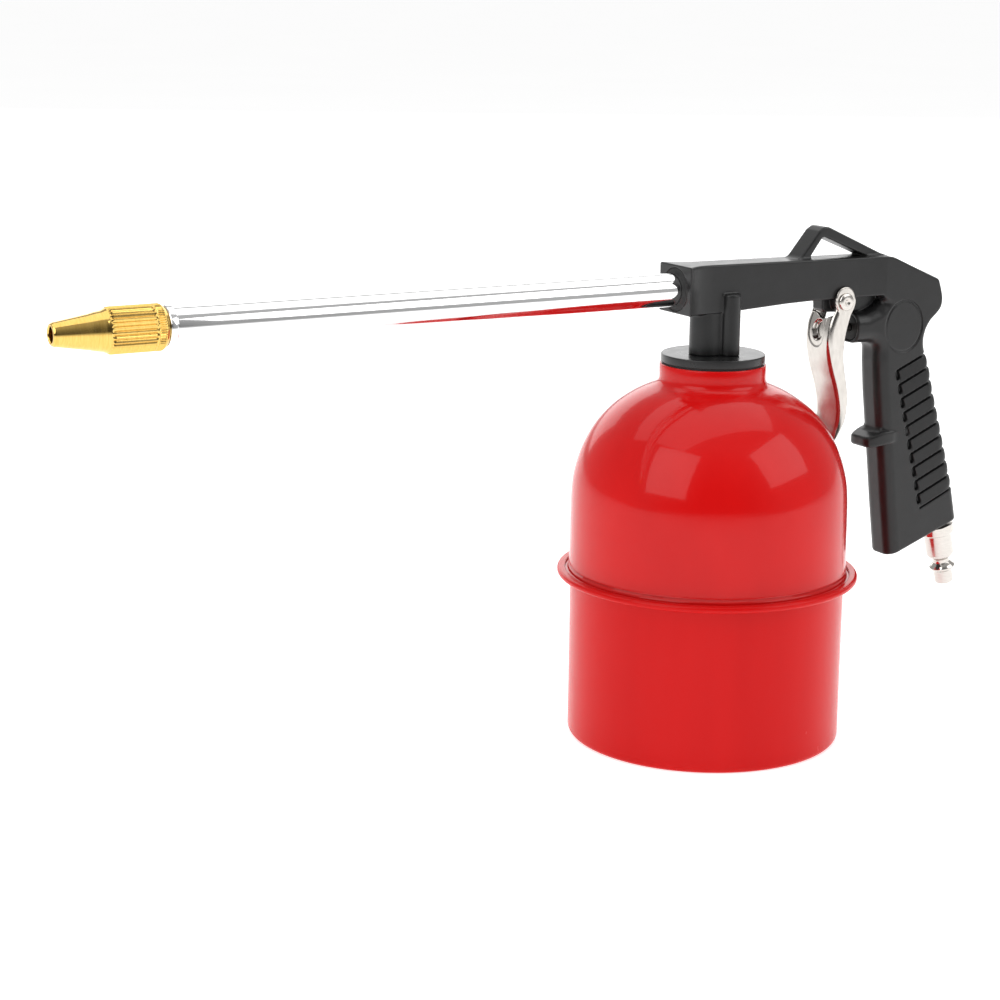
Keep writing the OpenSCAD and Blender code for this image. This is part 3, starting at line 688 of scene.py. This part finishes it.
# pivot pin with its low domed head, and the clip on the far end
pin = round_line([(0, 0.45), (0.55, 0.45), (1.15, 1.0), (2.0, 0.98), (2.95, 0.72), (3.2, 0.35), (3.2, 0.0), (2.0, 0.0),
                  (2.0, -16.6), (1.7, -16.95), (0, -16.95)], [0, 0.1, 0.25, 1.0, 0.3, 0.15, 0.1, 0, 0.2, 0.2, 0], 6)
lathe("pivot_pin_head", pin, 96, frame3=((PX, -7.75, PZ), (0, -1, 0), (1, 0, 0)), body="gun", slot="nickel",
      replaces=["pivot_pin"], material=M_PLUG)
clip = round_line([(2.05, 0), (3.4, 0.0), (3.4, 0.8), (2.05, 0.8)], [0, 0.2, 0.3, 0], 5)
lathe("pin_clip_ring", clip, 96, frame3=((PX, 7.75, PZ), (0, 1, 0), (1, 0, 0)), body="gun", slot="nickel",
      replaces=["pin_clip"], material=M_STEEL)

# ---------------------------------------------------------------- barrel, bushing and nozzle
X_AX = (-1, 0, 0)
tube = round_line([(5.2, 12.6), (6.0, 12.6), (6.0, 206.2), (5.2, 206.2)], [0, 0.1, 0.35, 0.2], 5)
lathe("barrel_tube_chrome", subdivide(tube, 12), 128, frame3=((0, 0, AXIS), X_AX, (0, 1, 0)), body="gun", slot="chrome",
      replaces=["barrel_tube"], material=M_CHROME)
bush = round_line([(3.3, 196), (5.18, 196), (5.18, 206.25), (6.3, 206.25), (6.9, 206.8), (6.9, 208.6), (6.5, 209.0), (5.5, 209.0),
                   (5.5, 221.2), (4.1, 221.2), (4.1, 222.8), (5.5, 222.8), (5.5, 225), (3.3, 225)],
                  [0, 0, 0, 0.2, 0.3, 0.3, 0.2, 0, 0, 0, 0, 0, 0.3, 0], 5)
lathe("nozzle_bushing", bush, 128, frame3=((0, 0, AXIS), X_AX, (0, 1, 0)), body="gun", slot="chrome",
      replaces=["tube_bushing"], material=M_COLLAR)

B0 = 209.2
noz = round_line(
    [(5.55, B0), (6.6, B0), (7.35, B0 + 1.1), (7.5, B0 + 1.5), (7.5, B0 + 18.0), (7.05, B0 + 19.0), (6.5, B0 + 20.2),
     (6.15, B0 + 22.4), (5.65, B0 + 24.6), (3.8, B0 + 35.9), (3.35, B0 + 36.6), (2.75, B0 + 36.6), (2.55, B0 + 36.2),
     (2.55, B0 + 31.1), (5.4, B0 + 16.6), (5.55, B0 + 16.2)],
    [0, 0.3, 0.3, 0.3, 0.5, 0.4, 2.0, 3.0, 3.0, 0.5, 0.3, 0.1, 0.1, 0.2, 0.1, 0], 6)
noz = subdivide(np.vstack([noz, noz[:1]]), 0.22)
NSEG = 720


def flutes(th, prof):
    r, h = prof[:, 0], prof[:, 1] - B0
    outside = r > 6.9
    dr = np.zeros((len(th), len(prof)))
    # coarse V flutes run along most of the grip, fine knurling covers its rear end
    ph = np.abs(((th[:, None] * 30 / (2 * math.pi)) % 1.0) - 0.5) * 2
    co = sstep(3.6, 4.6, h)[None, :] * (1 - sstep(18.2, 19.2, h))[None, :]
    dr -= 0.55 * co * (1 - ph) ** 1.2 * outside
    pf = np.abs(((th[:, None] * 60 / (2 * math.pi)) % 1.0) - 0.5) * 2
    fi = sstep(1.2, 1.6, h)[None, :] * (1 - sstep(3.4, 3.9, h))[None, :]
    dr -= 0.30 * fi * (1 - pf) * outside
    return dr, np.zeros_like(dr)


lathe("nozzle_brass", noz, NSEG, frame3=((0, 0, AXIS), X_AX, (0, 1, 0)), radial=flutes, body="nozzle_cap", slot="brass",
      replaces=["nozzle"], material=M_BRASS)

# ---------------------------------------------------------------- air plug
lean = math.radians(13.8)
PO = (107.0, 0, 69.0)
PA = (math.sin(lean), 0, -math.cos(lean))
plug = round_line(
    [(2.3, -7), (5.0, -7), (5.0, 2.35), (6.6, 2.35), (6.6, 5.6), (6.2, 6.1), (5.4, 6.3), (5.4, 14.6), (4.9, 15.5), (3.4, 16.6),
     (3.2, 17.0), (3.2, 18.3), (4.3, 19.3), (5.0, 20.2), (4.7, 20.9), (3.9, 21.7), (3.65, 22.2), (3.65, 26.4), (3.25, 26.9),
     (2.4, 26.9), (2.3, 26.5)],
    [0, 0, 0, 0.2, 0.3, 0.2, 0.15, 0.5, 0.5, 0.4, 0.5, 0.4, 0.3, 0.25, 0.25, 0.3, 0.3, 0.3, 0.2, 0.1, 0], 5)
lathe("air_plug_nickel", plug, 128, frame3=(PO, PA, (0, 1, 0)), body="gun", slot="nickel", replaces=["air_plug"], material=M_PLUG)

# valve gland face, with its bore
gl = round_line([(1.45, 61.2), (1.8, 60.85), (4.6, 60.85), (5.0, 61.2), (5.0, 71.4), (1.45, 71.4)], [0, 0.1, 0.3, 0, 0, 0], 4)
lathe("gland_nut", gl, 96, frame3=((0, 0, 147.0), (1, 0, 0), (0, 1, 0)), body="gun", slot="black_gland",
      replaces=["valve_gland"], material=M_GLAND)

# ---------------------------------------------------------------- carried-over CAD nodes
for node, mat in {
    "neck_thread_ring": M_STEEL, "lid_gasket": M_RUBBER, "dip_tube": M_STEEL, "barrel_seal": M_RUBBER,
    "fluid_tube": M_STEEL, "fluid_tip": M_BRASS, "nozzle_o_ring": M_RUBBER, "stem_packing": M_RUBBER,
    "valve_stem": M_PLUG, "valve_seal": M_RUBBER, "valve_spring": M_SPRING, "plug_seal": M_RUBBER,
}.items():
    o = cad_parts[node]
    if not o.material_slots:
        o.data.materials.append(mat)
    for s in o.material_slots:
        s.material = mat


# ---------------------------------------------------------------- stage and light
# painted glow: this floor emits light of its own, fading towards the camera side
def painted_glow_floor():
    me = bpy.data.meshes.new("floor")
    s = 14.0
    me.from_pydata([(-s, -s, 0), (s, -s, 0), (s, s, 0), (-s, s, 0)], [], [(0, 1, 2, 3)])
    o = bpy.data.objects.new("floor", me)
    bpy.context.scene.collection.objects.link(o)
    m, nt, b = new_mat("floor_white_painted_glow")
    f = noise(nt, coords(nt), 3, 2, 0.5)
    nt.links.new(ramp(nt, f, [(0.3, grey(0.88)), (0.7, grey(0.90))]), b.inputs["Base Color"])
    b.inputs["Roughness"].default_value = 0.9
    b.inputs["Specular IOR Level"].default_value = 0.1
    # painted glow: white emission so the floor reads pure white
    b.inputs["Emission Color"].default_value = (1, 1, 1, 1)
    # painted shade: the emission falls off towards the camera side, darkening the floor there and its reflection in the
    # parts
    glow_falloff = nt.nodes.new("ShaderNodeVectorMath")
    glow_falloff.operation = "DOT_PRODUCT"
    glow_falloff.inputs[1].default_value = (-0.492, -0.870, 0.0)
    nt.links.new(coords(nt), glow_falloff.inputs[0])
    nt.links.new(rng(nt, glow_falloff.outputs["Value"], 0.56, 0.02, 0.45, 1.25), b.inputs["Emission Strength"])
    me.materials.append(m)
    return o


painted_glow_floor()


def area(name, loc, target, size, power, col=(1, 1, 1)):
    l = bpy.data.lights.new(name, "AREA")
    l.shape = "RECTANGLE"
    l.size, l.size_y = size
    l.energy = power
    l.color = col
    o = bpy.data.objects.new(name, l)
    bpy.context.scene.collection.objects.link(o)
    o.location = loc
    o.rotation_mode = "QUATERNION"
    o.rotation_quaternion = (Vector(target) - Vector(loc)).to_track_quat("-Z", "Y")
    return o


C = (0.0, 0.0, 0.09)
area("softbox_left", (-1.35, -0.45, 1.00), C, (1.1, 1.2), 9)
area("softbox_right", (0.90, -1.05, 1.05), C, (1.3, 1.0), 8.5)
area("softbox_top", (0.0, 0.30, 1.6), C, (2.4, 1.6), 14)
area("backdrop", (1.50, 2.66, 1.15), C, (5.0, 1.6), 42)

world = bpy.data.worlds.new("studio")
bpy.context.scene.world = world
world.use_nodes = True
wnt = world.node_tree
bg = wnt.nodes["Background"]
tc = wnt.nodes.new("ShaderNodeTexCoord")
dot = wnt.nodes.new("ShaderNodeVectorMath")
dot.operation = "DOT_PRODUCT"
dot.inputs[1].default_value = (-0.490, -0.868, 0.04)
wnt.links.new(tc.outputs["Generated"], dot.inputs[0])
wnt.links.new(ramp(wnt, rng(wnt, dot.outputs["Value"], 0, 1, 0.5, 0.95), [(0.0, grey(0.50)), (1.0, grey(0.07))]), bg.inputs["Color"])
bg.inputs["Strength"].default_value = 1.0

sc = bpy.context.scene
sc.view_settings.view_transform = "Standard"
sc.view_settings.look = "None"
sc.view_settings.exposure = 0.0
sc.view_settings.gamma = 1.0
